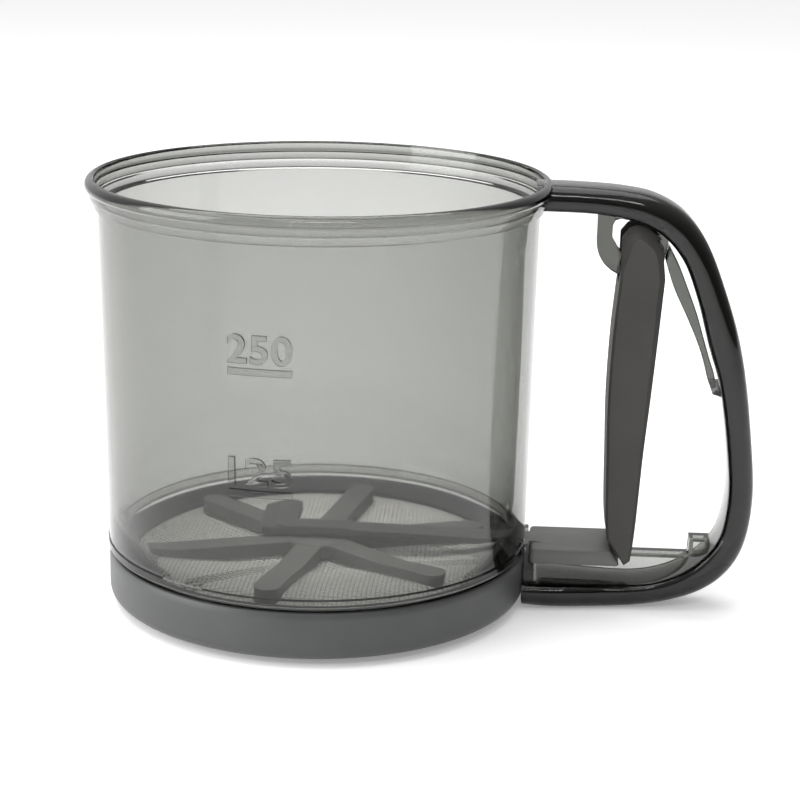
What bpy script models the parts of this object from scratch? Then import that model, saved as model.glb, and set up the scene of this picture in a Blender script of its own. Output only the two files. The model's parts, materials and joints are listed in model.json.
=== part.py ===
"""Squeeze-handle flour sifter: a smoky see-through cup with a D handle, a screen ring with a wire sieve,
a six-arm agitator, a push rod and a trigger lever with a leaf spring.

The assembly is drawn in millimetres about the cup's own axis, with the handle towards +X and z = 0 a
little above the rim that it stands on. Everything hangs from the "assembly" empty, whose scale of 0.001
turns it into metres and whose place puts the middle of the whole sifter's footprint at the world origin.
"""
import math

import bmesh
import bpy
from mathutils import Matrix, Vector

MM = 0.001
GAP = 0.3

# cup
WALL_FOOT_R = 50.0
WALL_HEAD_R = 51.2
WALL_INNER_FOOT_R = 48.4
WALL_INNER_HEAD_R = 49.5
BAND_Z = (12.6, 14.6)
STEP_Z = 93.7
RIM_R = 54.0
RIM_Z = 100.2
SKIRT_R = 48.7
SKIRT_INNER_R = 48.0
SKIRT_Z = 8.7

# screen ring, sieve and its retainer
RING_R = 50.0
RING_Z = 11.4
BASE_Z = -1.5
SEAT_R = 42.6
SEAT_Z = 7.9
SIEVE_Z = (8.0, 8.3)
SIEVE_R = 47.3
BOSS_R = 6.0

# handle, in side view
HANDLE_HALF = 7.0
ROOT_HALF = 9.8
ROOT_END_X = 50.0
TAPER_END_X = 78.0
HANDLE_OUTER = [
    (50.0, 99.9), (60.0, 99.7), (70.0, 99.1), (77.0, 97.8), (83.8, 94.2), (89.0, 88.0), (94.8, 74.6),
    (98.7, 62.0), (101.8, 43.5), (103.3, 25.5), (101.6, 14.2), (98.2, 7.9), (92.8, 3.4), (85.0, 0.4),
    (76.0, -1.2), (66.0, -1.45), (56.0, -1.3), (47.6, -0.5)]
HANDLE_INNER = [
    (53.2, 4.5), (66.0, 4.4), (77.0, 4.6), (83.0, 5.9), (88.0, 8.2), (92.4, 11.8), (95.6, 16.4),
    (97.3, 26.5), (96.3, 39.6), (93.7, 54.6), (91.0, 63.0), (87.6, 74.6), (83.8, 83.6), (79.0, 89.0),
    (73.5, 91.8), (65.0, 93.5), (50.0, 94.0)]
NECK = [(47.6, 14.4), (50.9, 14.4), (50.9, 9.6), (52.3, 8.6), (52.3, 5.4)]
RAIL_THICK = 1.4
RAIL_SIDE = [
    (50.6, 2.0), (50.6, 9.6), (55.0, 9.6), (60.0, 9.6), (65.0, 9.6), (70.0, 9.6), (74.0, 9.6), (78.0, 9.6),
    (89.6, 9.6), (89.6, 13.9), (95.2, 13.9), (96.2, 12.0), (90.0, 5.0), (80.0, 2.0), (78.0, 2.0), (74.0, 2.0),
    (70.0, 2.0), (65.0, 2.0), (60.0, 2.0), (55.0, 2.0)]

# trigger and its bearing loop
PIVOT = (72.4, 83.6)
PIVOT_PIN_R = 1.75
LOOP_CENTRE = (72.25, 87.0)
LOOP_R = 8.15
LOOP_HALF = 3.0
TRIGGER_HALF = (8.5, 7.2)
TRIGGER_OUTLINE = [
    (69.8, 81.0), (69.2, 73.5), (68.6, 65.7), (68.1, 50.0), (68.4, 34.0), (68.8, 20.6), (69.2, 16.4),
    (73.5, 10.1), (74.9, 11.2), (75.6, 17.5), (76.9, 38.0), (77.9, 50.0), (79.1, 66.0), (80.0, 79.0),
    (79.5, 83.2), (79.8, 85.2), (79.3, 87.4), (78.0, 88.9), (75.4, 90.8), (73.2, 91.2), (71.4, 90.4),
    (69.8, 88.4)]
TRIGGER_WALL = 1.9

# push rod, in side view, and its yoke in plan
BAR_HALF = 8.7
BAR_Z = (9.9, 13.6)
ROD_HALF = 3.7
ROD_TOP = 15.2
ROD_UNDER = 13.0
ROD_STEP = 14.7
SLOT_ROOF = 14.1
CRANK_R = 13.4
CRANK_ANGLE = math.radians(138.5)
CRANK_PIN_R = 1.6
YOKE_SLOT = 4.8
LINK = (72.9, 13.0)
LINK_PIN_R = 1.0

# agitator
ARMS = 6
ARM_R = 41.8
ARM_HALF = 3.1
ARM_Z = (9.0, 12.3)
HUB_R = 8.0
HUB_Z = 12.6
FIRST_ARM = CRANK_ANGLE - math.radians(120.0)

# volume marks on the cup wall
MARK_ANGLE = math.radians(-98.9)
MARK_HEIGHT = 6.1
MARK_WIDTH = 14.3
MARK_RAISE = 0.35

ASSEMBLY_SHIFT = (-(HANDLE_OUTER[9][0] - RIM_R) / 2, 0.0, -BASE_Z)


def clear_scene():
    for obj in list(bpy.data.objects):
        bpy.data.objects.remove(obj, do_unlink=True)


def make_collection(name):
    collection = bpy.data.collections.new(name)
    bpy.context.scene.collection.children.link(collection)
    return collection


clear_scene()
PARTS = make_collection("flour_sifter")
CUTTERS = make_collection("cutters")

ASSEMBLY = bpy.data.objects.new("assembly", None)
ASSEMBLY.location = Vector(ASSEMBLY_SHIFT) * MM
ASSEMBLY.scale = (MM, MM, MM)
PARTS.objects.link(ASSEMBLY)


def make_material(name, colour, roughness, metallic=0.0, transmission=0.0):
    material = bpy.data.materials.new(name)
    material.use_nodes = True
    shader = material.node_tree.nodes["Principled BSDF"]
    shader.inputs["Base Color"].default_value = (*colour, 1.0)
    shader.inputs["Roughness"].default_value = roughness
    shader.inputs["Metallic"].default_value = metallic
    shader.inputs["Transmission Weight"].default_value = transmission
    return material


SMOKE_PLASTIC = make_material("smoke_plastic", (0.30, 0.31, 0.29), 0.08, transmission=0.9)
SATIN_PLASTIC = make_material("satin_plastic", (0.13, 0.14, 0.14), 0.45)
AGITATOR_PLASTIC = make_material("agitator_plastic", (0.20, 0.20, 0.19), 0.5)
ROD_PLASTIC = make_material("rod_plastic", (0.14, 0.14, 0.135), 0.45)
TRIGGER_PLASTIC = make_material("trigger_plastic", (0.075, 0.07, 0.067), 0.6)
STEEL_CLOTH = make_material("steel_cloth", (0.45, 0.44, 0.42), 0.35, metallic=0.9)
STEEL = make_material("steel", (0.6, 0.6, 0.6), 0.3, metallic=1.0)


def place(obj, material=None, parent=None):
    """Parts show and are built, cutters only cut: an object without a material is a cutter."""
    if material is None:
        CUTTERS.objects.link(obj)
        obj.hide_render = True
        obj.display_type = 'WIRE'
    else:
        PARTS.objects.link(obj)
        obj.data.materials.append(material)
    obj.parent = parent or ASSEMBLY
    return obj


def pivot_empty(name, location):
    """An empty on a moving piece's axis, which carries that piece."""
    empty = bpy.data.objects.new(name, None)
    empty.location = location
    empty.parent = ASSEMBLY
    PARTS.objects.link(empty)
    return empty


def smooth(obj, angle=35.0):
    obj.data.shade_smooth()
    obj.data.set_sharp_from_angle(angle=math.radians(angle))
    return obj


def boolean(obj, other, operation='DIFFERENCE'):
    modifier = obj.modifiers.new(operation.lower(), 'BOOLEAN')
    modifier.operation = operation
    modifier.object = other
    return obj


def bevel(obj, width, segments=1, angle=50.0):
    modifier = obj.modifiers.new("bevel", 'BEVEL')
    modifier.width = width
    modifier.segments = segments
    modifier.limit_method = 'ANGLE'
    modifier.angle_limit = math.radians(angle)
    modifier.use_clamp_overlap = True
    return obj


def revolve(name, profile, steps, material=None, parent=None):
    """A ring turned about the local Z axis from a closed (radius, height) profile."""
    mesh = bpy.data.meshes.new(name)
    count = len(profile)
    edges = [(i, (i + 1) % count) for i in range(count)]
    mesh.from_pydata([(r, 0.0, z) for r, z in profile], edges, [])
    obj = place(bpy.data.objects.new(name, mesh), material, parent)
    screw = obj.modifiers.new("screw", 'SCREW')
    screw.steps = steps
    screw.render_steps = steps
    screw.use_merge_vertices = True
    screw.merge_threshold = 0.0001
    screw.use_smooth_shade = True
    return obj


def disc(name, radius, z_range, segments, material=None, parent=None, centre=(0.0, 0.0)):
    """An upright cylinder between two heights."""
    mesh = bpy.data.meshes.new(name)
    shape = bmesh.new()
    depth = z_range[1] - z_range[0]
    middle = Vector((centre[0], centre[1], z_range[0] + depth / 2))
    bmesh.ops.create_cone(shape, cap_ends=True, segments=segments, radius1=radius, radius2=radius,
                          depth=depth, matrix=Matrix.Translation(middle))
    shape.to_mesh(mesh)
    shape.free()
    return smooth(place(bpy.data.objects.new(name, mesh), material, parent))


def cross_pin(name, centre, radius, y_range, segments, material=None, parent=None):
    """A pin along Y whose axis stands at the (x, z) centre."""
    mesh = bpy.data.meshes.new(name)
    shape = bmesh.new()
    middle = Vector((centre[0], (y_range[0] + y_range[1]) / 2, centre[1]))
    turn = Matrix.Translation(middle) @ Matrix.Rotation(math.pi / 2, 4, 'X')
    bmesh.ops.create_cone(shape, cap_ends=True, segments=segments, radius1=radius, radius2=radius,
                          depth=y_range[1] - y_range[0], matrix=turn)
    shape.to_mesh(mesh)
    shape.free()
    return smooth(place(bpy.data.objects.new(name, mesh), material, parent))


def box(name, x_range, y_range, z_range, material=None, parent=None):
    mesh = bpy.data.meshes.new(name)
    shape = bmesh.new()
    bmesh.ops.create_cube(shape, size=1.0)
    for vert in shape.verts:
        low_high = [pair[int(value > 0)] for pair, value in zip((x_range, y_range, z_range), vert.co)]
        vert.co = Vector(low_high)
    shape.to_mesh(mesh)
    shape.free()
    return place(bpy.data.objects.new(name, mesh), material, parent)


def curve_to_mesh(curve_obj, name):
    """The mesh of a curve object with its loose caps welded; the curve itself is removed."""
    bpy.context.scene.collection.objects.link(curve_obj)
    bpy.context.view_layer.update()
    graph = bpy.context.evaluated_depsgraph_get()
    mesh = bpy.data.meshes.new_from_object(curve_obj.evaluated_get(graph))
    mesh.transform(curve_obj.matrix_world)
    mesh.name = name
    shape = bmesh.new()
    shape.from_mesh(mesh)
    bmesh.ops.remove_doubles(shape, verts=shape.verts, dist=0.001)
    bmesh.ops.recalc_face_normals(shape, faces=shape.faces)
    shape.to_mesh(mesh)
    shape.free()
    mesh.materials.clear()
    bpy.data.objects.remove(curve_obj, do_unlink=True)
    return mesh


def outline_curve(name, outlines, half_depth, smooth_points=False, resolution=3):
    """A filled 2D curve through each closed outline, thickened both ways."""
    curve = bpy.data.curves.new(name, 'CURVE')
    curve.dimensions = '2D'
    curve.fill_mode = 'BOTH'
    curve.extrude = half_depth
    curve.resolution_u = resolution
    for outline in outlines:
        spline = curve.splines.new('BEZIER')
        spline.bezier_points.add(len(outline) - 1)
        for point, place_2d in zip(spline.bezier_points, outline):
            point.co = (place_2d[0], place_2d[1], 0.0)
            handle = 'AUTO' if smooth_points and len(place_2d) == 2 else 'VECTOR'
            point.handle_left_type = handle
            point.handle_right_type = handle
        spline.use_cyclic_u = True
        if not smooth_points:
            spline.resolution_u = 1
    return bpy.data.objects.new(name, curve)


def side_plate(name, outlines, half_width, material=None, parent=None, smooth_points=False,
               resolution=3):
    """A plate standing in the XZ plane. A third value in an outline point marks a sharp corner."""
    obj = outline_curve(name, outlines, half_width, smooth_points, resolution)
    obj.rotation_euler = (math.pi / 2, 0.0, 0.0)
    mesh = curve_to_mesh(obj, name)
    return place(bpy.data.objects.new(name, mesh), material, parent)


def plan_plate(name, outlines, z_range, material=None, parent=None, smooth_points=False, resolution=3):
    """A level plate between two heights."""
    obj = outline_curve(name, outlines, (z_range[1] - z_range[0]) / 2, smooth_points, resolution)
    obj.location = (0.0, 0.0, (z_range[0] + z_range[1]) / 2)
    mesh = curve_to_mesh(obj, name)
    return place(bpy.data.objects.new(name, mesh), material, parent)


def arc(centre, radius, start, end, count):
    """Points round a circle from one angle to another, in degrees."""
    angles = [math.radians(start + (end - start) * i / count) for i in range(count + 1)]
    return [(centre[0] + radius * math.cos(a), centre[1] + radius * math.sin(a)) for a in angles]


def handle_half(x):
    """Half the handle's width: wide at the cup's foot, narrow from the trigger outwards."""
    blend = min(max((TAPER_END_X - x) / (TAPER_END_X - ROOT_END_X), 0.0), 1.0)
    blend = blend * blend * (3 - 2 * blend)
    return HANDLE_HALF + (ROOT_HALF - HANDLE_HALF) * blend


def flare(obj):
    """Widens the low part of a side plate to follow the handle's plan."""
    for vert in obj.data.vertices:
        if vert.co.z < 5.0:
            vert.co.y = math.copysign(handle_half(vert.co.x), vert.co.y)
    return obj


# ---------------------------------------------------------------- cup, handle and bearing loop

def cup_profile():
    bead = RIM_R - 52.3
    lip = arc((52.3, RIM_Z - bead), bead, 90.0, -20.0, 4)
    outer = lip + [(53.4, 96.7), (52.6, 95.4), (51.8, STEP_Z + 0.5), (WALL_HEAD_R, STEP_Z - 0.2),
                   (WALL_FOOT_R, BAND_Z[1] + 0.2), (WALL_FOOT_R + 0.3, BAND_Z[1] - 0.2),
                   (WALL_FOOT_R + 0.3, BAND_Z[0] + 0.2), (WALL_FOOT_R, BAND_Z[0]), (SKIRT_R, BAND_Z[0]),
                   (SKIRT_R, SKIRT_Z)]
    inner = [(SKIRT_INNER_R, SKIRT_Z), (SKIRT_INNER_R, BAND_Z[1]), (WALL_INNER_FOOT_R, BAND_Z[1] + 1.0),
             (WALL_INNER_HEAD_R, STEP_Z - 0.4), (50.3, STEP_Z + 0.3), (50.6, 97.0), (51.1, 98.2),
             (51.5, 99.6)]
    return outer + inner


def wall_radius(z):
    """Outer radius of the tapering wall at a height."""
    share = (z - BAND_Z[1]) / (STEP_Z - BAND_Z[1])
    return WALL_FOOT_R + (WALL_HEAD_R - WALL_FOOT_R) * share


def wrap_on_wall(mesh, middle_z):
    """Bends a flat drawing (x along the wall, y up, z outwards) round the cup's outer wall."""
    for vert in mesh.vertices:
        z = middle_z + vert.co.y
        radius = wall_radius(z) + vert.co.z
        angle = MARK_ANGLE + vert.co.x / wall_radius(z)
        vert.co = (radius * math.cos(angle), radius * math.sin(angle), z)
    return mesh


def mark_digits(number, foot_z):
    """Raised numerals, MARK_WIDTH long, bent round the wall."""
    text = bpy.data.curves.new("digits_" + number, 'FONT')
    text.body = number
    text.size = MARK_HEIGHT * 1.42
    text.align_x = 'CENTER'
    text.extrude = MARK_RAISE
    text.offset = 0.2
    text.resolution_u = 2
    obj = bpy.data.objects.new("digits_" + number, text)
    mesh = curve_to_mesh(obj, obj.name)
    reach = [vert.co.x for vert in mesh.vertices]
    middle, width = (max(reach) + min(reach)) / 2, max(reach) - min(reach)
    for vert in mesh.vertices:
        vert.co.x = (vert.co.x - middle) * MARK_WIDTH / width
    return place(bpy.data.objects.new("digits_" + number, wrap_on_wall(mesh, foot_z)))


def mark_underline(number, foot_z):
    """The raised bar under a number."""
    line = box("underline_" + number, (-MARK_WIDTH / 2, MARK_WIDTH / 2), (-0.8, 0.8),
               (-MARK_RAISE, MARK_RAISE))
    shape = bmesh.new()
    shape.from_mesh(line.data)
    long_edges = [e for e in shape.edges if abs(e.verts[0].co.x - e.verts[1].co.x) > 1.0]
    bmesh.ops.subdivide_edges(shape, edges=long_edges, cuts=5, use_grid_fill=True)
    shape.to_mesh(line.data)
    shape.free()
    wrap_on_wall(line.data, foot_z)
    return line


def handle_loop():
    """The D handle, with the neck that joins its lower arm to the cup's band."""
    outline = ([(*HANDLE_OUTER[0], 0)] + HANDLE_OUTER[1:-1] + [(*HANDLE_OUTER[-1], 0)]
               + [(x, z, 0) for x, z in NECK] + HANDLE_INNER[:-1] + [(*HANDLE_INNER[-1], 0)])
    handle = flare(side_plate("handle_loop", [outline], HANDLE_HALF, smooth_points=True, resolution=2))
    return boolean(handle, disc("ring_clearance", RING_R + 0.35, (-6.0, BAND_Z[0] - 0.2), 72))


def guide_rail():
    """The thin upright rail along the lower arm's far edge, with the raised stop at its outer end."""
    rail = side_plate("guide_rail", [RAIL_SIDE], RAIL_THICK / 2)
    for vert in rail.data.vertices:
        outer = handle_half(vert.co.x) - 0.5
        vert.co.y = outer if vert.co.y > 0 else outer - RAIL_THICK
    return boolean(rail, disc("rail_clearance", RING_R + 0.45, (-6.0, BAND_Z[0] - 0.2), 72))


def bearing_loop():
    """The loop under the handle's top arm that the trigger hangs on."""
    outer = [(64.1, 96.0)] + arc(LOOP_CENTRE, LOOP_R, 180.0, 360.0, 14) + [(80.4, 90.0), (78.0, 96.0)]
    window = (arc(PIVOT, PIVOT_PIN_R + GAP, 205.0, 335.0, 5) + [(76.9, 87.3), (76.6, 90.6), (74.4, 91.6)]
              + [(69.4, 92.3), (67.8, 91.2), (67.5, 88.0)])
    return side_plate("bearing_loop", [outer, window], LOOP_HALF)


def spring_seat():
    """The small ledge on the inside of the handle that holds up the leaf spring's foot."""
    return side_plate("spring_seat", [[(92.4, 51.7), (96.0, 50.6), (96.0, 53.6), (93.5, 53.3)]], 4.0)


def cup_body():
    cup = revolve("cup_body", cup_profile(), 72, SMOKE_PLASTIC)
    handle = handle_loop()
    boolean(handle, guide_rail(), 'UNION')
    boolean(handle, bearing_loop(), 'UNION')
    boolean(handle, spring_seat(), 'UNION')
    boolean(handle, disc("cup_clearance", 49.0, (BAND_Z[0] - 0.2, 120.0), 72))
    boolean(cup, handle, 'UNION')
    for number, foot in (("250", 67.9), ("125", 40.6)):
        boolean(cup, mark_digits(number, foot), 'UNION')
        boolean(cup, mark_underline(number, foot - 2.0), 'UNION')
    boolean(cup, box("rod_window", (45.0, 53.0), (-ROD_HALF - 0.7, ROD_HALF + 0.7), (11.9, 15.1)))
    return cup


# ---------------------------------------------------------------- screen ring and sieve

def screen_ring():
    foot = arc((RING_R - 2.6, 2.6), 2.6, 0.0, -90.0, 4)
    profile = ([(RING_R - 0.9, RING_Z), (RING_R - 0.5, RING_Z), (RING_R - 0.3, RING_Z - 0.2),
                (RING_R, RING_Z - 1.9)] + foot
               + [(44.4, BASE_Z), (42.6, BASE_Z), (42.2, BASE_Z + 0.4), (42.2, 5.4), (SEAT_R, 6.0),
                  (SEAT_R, SEAT_Z), (SIEVE_R + 0.4, SEAT_Z), (SIEVE_R + 0.4, SEAT_Z + 0.2),
                  (RING_R - 1.0, SEAT_Z + 0.2)])
    ring = revolve("screen_ring", profile, 72, SATIN_PLASTIC)
    for index in range(3):
        spoke = box("spoke_%d" % index, (1.0, SEAT_R + 0.5), (-1.5, 1.5), (6.3, SEAT_Z - 0.1))
        spoke.rotation_euler = (0.0, 0.0, math.radians(-12.0 + 120.0 * index))
        boolean(ring, spoke, 'UNION')
    boolean(ring, disc("hub_boss", BOSS_R, (4.5, SEAT_Z - 0.05), 24), 'UNION')
    boolean(ring, disc("hub_bore", 2.0 + GAP, (2.0, 10.0), 16))
    return ring


def sieve():
    cloth = disc("sieve_mesh", SIEVE_R, SIEVE_Z, 72, STEEL_CLOTH)
    boolean(cloth, disc("cloth_bore", 2.0 + GAP, (7.0, 10.0), 16))
    low, high = SIEVE_Z[1] + 0.1, BAND_Z[1] - 2.0
    profile = [(46.9, high), (47.5, high), (47.7, high - 0.3), (47.7, low), (44.6, low), (44.6, low + 0.9)]
    retainer = revolve("sieve_retainer", profile, 72, SATIN_PLASTIC)
    boolean(retainer, box("retainer_notch", (40.0, 50.0), (-ROD_HALF - 1.3, ROD_HALF + 1.3), (11.5, 14.0)))
    plate = revolve("centre_plate", [(4.6, 8.7), (4.8, 8.6), (4.8, 8.4), (2.3, 8.4), (2.3, 8.7)], 32, STEEL)
    return [cloth, retainer, plate]


def axle_rivet():
    """The steel pin that the agitator turns on, riveted up through the ring's boss and the sieve."""
    profile = [(0.0, 11.6), (1.7, 11.6), (2.0, 11.3), (2.0, 4.2), (4.0, 4.2), (4.0, 3.4), (3.2, 2.8),
               (0.0, 2.8)]
    mesh = bpy.data.meshes.new("axle_rivet")
    mesh.from_pydata([(r, 0.0, z) for r, z in profile], [(i, i + 1) for i in range(len(profile) - 1)], [])
    rivet = place(bpy.data.objects.new("axle_rivet", mesh), STEEL)
    screw = rivet.modifiers.new("screw", 'SCREW')
    screw.steps = 24
    screw.render_steps = 24
    screw.use_merge_vertices = True
    screw.merge_threshold = 0.0001
    screw.use_smooth_shade = True
    return rivet


# ---------------------------------------------------------------- agitator

def agitator():
    pivot = pivot_empty("agitator_axis", (0.0, 0.0, 0.0))
    body = disc("agitator", HUB_R, (ARM_Z[0], HUB_Z), 32, AGITATOR_PLASTIC, pivot)
    for index in range(ARMS):
        tip = arc((ARM_R - ARM_HALF, 0.0), ARM_HALF, -90.0, 90.0, 6)
        arm = plan_plate("arm_%d" % index, [[(2.0, -ARM_HALF)] + tip + [(2.0, ARM_HALF)]], ARM_Z,
                         parent=pivot)
        bevel(arm, 0.7, angle=60.0)
        arm.rotation_euler = (0.0, 0.0, FIRST_ARM + index * 2 * math.pi / ARMS)
        boolean(body, arm, 'UNION')
    crank = (CRANK_R * math.cos(CRANK_ANGLE), CRANK_R * math.sin(CRANK_ANGLE))
    boolean(body, disc("crank_pin", CRANK_PIN_R, (ARM_Z[1] - 1.0, SLOT_ROOF - 0.3), 16, parent=pivot,
                       centre=crank), 'UNION')
    boolean(body, disc("axle_bore", 2.0 + GAP, (8.0, 11.9), 16, parent=pivot))
    return body


# ---------------------------------------------------------------- push rod

def push_rod():
    slide = pivot_empty("rod_slide", (0.0, 0.0, 0.0))
    crank_x = CRANK_R * math.cos(CRANK_ANGLE)
    crank_y = CRANK_R * math.sin(CRANK_ANGLE)
    slot_half = YOKE_SLOT / 2
    left, right = crank_x - slot_half - 1.9, crank_x + slot_half + 2.2
    far = CRANK_R + slot_half + 2.4
    level_end = 8.0
    near = -ROD_HALF + 1.1
    plan = [(left, 0.6), (left + 1.0, near + 0.6), (crank_x + 2.0, near + 0.6), (crank_x + 6.0, near + 0.3),
            (level_end, near), (level_end, ROD_HALF), (right, ROD_HALF), (right, far - 1.5),
            (right - 1.5, far), (left + 2.6, far), (left, far - 3.0)]
    rod = plan_plate("push_rod", [plan], (ROD_UNDER, ROD_STEP), ROD_PLASTIC, slide)
    step_x = crank_x - 0.5
    corner = arc((step_x + 3.6, near + 4.0), 3.6, 180.0, 270.0, 5)
    cover_plan = corner + [
        (level_end, near + 0.05), (level_end, ROD_HALF - 0.05), (right - 0.05, ROD_HALF + 0.05),
        (right - 0.05, far - 1.5), (right - 1.5, far - 0.05), (step_x, far - 0.05)]
    cover = plan_plate("rod_cover", [cover_plan], (ROD_STEP - 0.4, ROD_TOP), parent=slide)
    bevel(cover, 0.3, angle=60.0)
    boolean(rod, cover, 'UNION')
    slope_side = [(level_end - 3.0, ROD_TOP - 0.05), (level_end - 3.0, ROD_UNDER + 0.05),
                  (58.0, ROD_UNDER - 0.8), (58.0, ROD_TOP - 2.0), (52.0, ROD_TOP - 1.3)]
    slope = side_plate("rod_slope", [slope_side], ROD_HALF - 0.05, parent=slide)
    for vert in slope.data.vertices:
        if vert.co.y < 0:
            share = (vert.co.x - level_end + 3.0) / (58.0 - level_end + 3.0)
            vert.co.y = near + 0.05 - (near + ROD_HALF) * share
    bar_side = [(51.2, BAR_Z[1]), (51.2, BAR_Z[0]), (72.7, BAR_Z[0]), (70.1, BAR_Z[1])]
    bar = bevel(side_plate("bar", [bar_side], BAR_HALF, parent=slide), 0.8, segments=2, angle=60.0)
    tongue_side = [(62.0, 10.2), (75.0, 10.2), (75.0, 15.2), (70.8, 15.2), (69.0, 12.5), (62.0, 12.5)]
    tongue = side_plate("tongue", [tongue_side], 3.4, parent=slide)
    for piece in (slope, bar, tongue):
        boolean(rod, piece, 'UNION')
    slot_plan = ([(crank_x - slot_half, crank_y - 3.0), (crank_x + slot_half, crank_y - 3.0)]
                 + arc((crank_x, CRANK_R - 0.2), slot_half, 0.0, 180.0, 6))
    boolean(rod, plan_plate("yoke_slot", [slot_plan], (12.0, SLOT_ROOF), parent=slide))
    slot_x = (LINK[0] - LINK_PIN_R - GAP, LINK[0] + LINK_PIN_R + GAP)
    return boolean(rod, box("link_slot", slot_x, (-6.0, 6.0), (LINK[1] - 1.4, 20.0), parent=slide))


# ---------------------------------------------------------------- trigger, pins and spring

def trigger_half(z):
    share = min(max((z - 10.0) / 80.0, 0.0), 1.0)
    return TRIGGER_HALF[0] + (TRIGGER_HALF[1] - TRIGGER_HALF[0]) * share


def taper_trigger(obj, inset=0.0):
    for vert in obj.data.vertices:
        vert.co.y = math.copysign(trigger_half(vert.co.z) - inset, vert.co.y)
    return obj


def trigger():
    """A channel lever, open towards the handle, drawn about its own pivot."""
    pivot = pivot_empty("trigger_axis", (PIVOT[0], 0.0, PIVOT[1]))
    home = (-PIVOT[0], 0.0, -PIVOT[1])
    lever = side_plate("trigger", [TRIGGER_OUTLINE], TRIGGER_HALF[0], TRIGGER_PLASTIC, pivot)
    taper_trigger(lever)
    lever.location = home
    bevel(lever, 0.9, segments=2, angle=60.0)
    front = [(x + TRIGGER_WALL, z) for x, z in TRIGGER_OUTLINE[:6]]
    hollow_side = front + [(71.2, 17.6), (71.0, 5.0), (90.0, 5.0), (90.0, 86.6), (76.0, 88.2), (71.9, 88.4)]
    hollow = taper_trigger(side_plate("hollow", [hollow_side], 5.0, parent=pivot), TRIGGER_WALL)
    hollow.location = home
    foot_mouth = box("foot_mouth", (60.0, 80.0), (-3.9, 3.9), (5.0, 17.6), parent=pivot)
    loop_slot = box("loop_slot", (60.0, 90.0), (-LOOP_HALF - 0.5, LOOP_HALF + 0.5), (77.6, 95.0), parent=pivot)
    for cutter in (hollow, foot_mouth, loop_slot):
        cutter.location = home
        boolean(lever, cutter)
    pin_y = TRIGGER_HALF[1] - 0.9
    boolean(lever, cross_pin("pivot_bore", (0.0, 0.0), PIVOT_PIN_R + 0.1, (-pin_y, pin_y + 5.0), 20,
                             parent=pivot))
    link_place = (LINK[0] - PIVOT[0], LINK[1] - PIVOT[1])
    boolean(lever, cross_pin("link_bore", link_place, LINK_PIN_R + 0.1, (-7.4, 7.4), 16, parent=pivot))
    trigger_pin = cross_pin("trigger_pin", (0.0, 0.0), PIVOT_PIN_R - 0.1, (0.3 - pin_y, pin_y + 0.7), 20,
                            STEEL, pivot)
    link_pin = cross_pin("link_pin", link_place, LINK_PIN_R - 0.1, (-7.1, 7.1), 16, STEEL, pivot)
    return [lever, trigger_pin, link_pin]


def return_spring():
    """A moulded leaf: its foot stands on the handle's ledge and its head backs the trigger's two cheeks."""
    leaf_side = [(79.9, 83.4), (80.9, 86.2), (83.0, 82.4), (85.1, 77.5), (87.6, 71.3), (89.4, 65.8),
                 (91.1, 60.6), (92.3, 57.2), (93.0, 54.0), (91.9, 53.4), (91.0, 55.4), (89.9, 59.3),
                 (88.4, 63.6), (85.3, 70.5), (82.0, 77.3)]
    leaf = side_plate("return_spring", [leaf_side], 6.3, SMOKE_PLASTIC)
    return bevel(leaf, 0.3, angle=60.0)


cup_body()
screen_ring()
sieve()
axle_rivet()
agitator()
push_rod()
trigger()
return_spring()
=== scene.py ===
"""Looks of the squeeze-handle flour sifter: smoky cup, satin ring, woven sieve, agitator and trigger.

Shapes are drawn in millimetres about the cup's own axis, handle towards +X, then moved into the row frame.
"""
import json
import math

import bmesh
import bpy
from mathutils import Matrix, Vector


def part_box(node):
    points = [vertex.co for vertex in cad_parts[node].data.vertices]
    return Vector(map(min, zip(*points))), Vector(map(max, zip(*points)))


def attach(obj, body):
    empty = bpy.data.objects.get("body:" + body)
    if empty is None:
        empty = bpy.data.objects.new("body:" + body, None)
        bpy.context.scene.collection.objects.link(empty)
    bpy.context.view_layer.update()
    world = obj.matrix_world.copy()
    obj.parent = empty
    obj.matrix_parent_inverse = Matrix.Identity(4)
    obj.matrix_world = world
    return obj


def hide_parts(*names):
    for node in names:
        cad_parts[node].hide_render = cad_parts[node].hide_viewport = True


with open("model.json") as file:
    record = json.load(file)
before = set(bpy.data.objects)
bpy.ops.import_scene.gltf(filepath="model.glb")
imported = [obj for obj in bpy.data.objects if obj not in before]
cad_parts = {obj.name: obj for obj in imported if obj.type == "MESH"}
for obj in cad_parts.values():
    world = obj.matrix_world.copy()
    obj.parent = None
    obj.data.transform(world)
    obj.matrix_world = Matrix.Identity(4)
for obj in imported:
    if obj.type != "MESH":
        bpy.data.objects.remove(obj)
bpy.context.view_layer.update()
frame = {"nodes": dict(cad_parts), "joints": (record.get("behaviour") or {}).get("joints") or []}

MM = 0.001
AXIS = Vector(frame["joints"][2]["pos_m"])
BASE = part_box("screen_ring")[0].z
BASE_Z = -1.5                                   # the underside of the ring, as drawn
SHIFT = Vector((AXIS.x, 0.0, BASE - BASE_Z * MM))
TO_FRAME = Matrix.Translation(SHIFT) @ Matrix.Scale(MM, 4)
WORK = bpy.data.collections.new("work")
bpy.context.scene.collection.children.link(WORK)


# ------------------------------------------------------------------ shape tools

def new_object(name, mesh):
    obj = bpy.data.objects.new(name, mesh)
    WORK.objects.link(obj)
    return obj


def fix_normals(mesh):
    """Merges doubled points and turns every face outwards."""
    shape = bmesh.new()
    shape.from_mesh(mesh)
    bmesh.ops.remove_doubles(shape, verts=shape.verts, dist=0.0005)
    bmesh.ops.recalc_face_normals(shape, faces=shape.faces)
    shape.to_mesh(mesh)
    shape.free()


def solid(name, verts, faces):
    mesh = bpy.data.meshes.new(name)
    mesh.from_pydata(verts, [], faces)
    fix_normals(mesh)
    return new_object(name, mesh)


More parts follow.
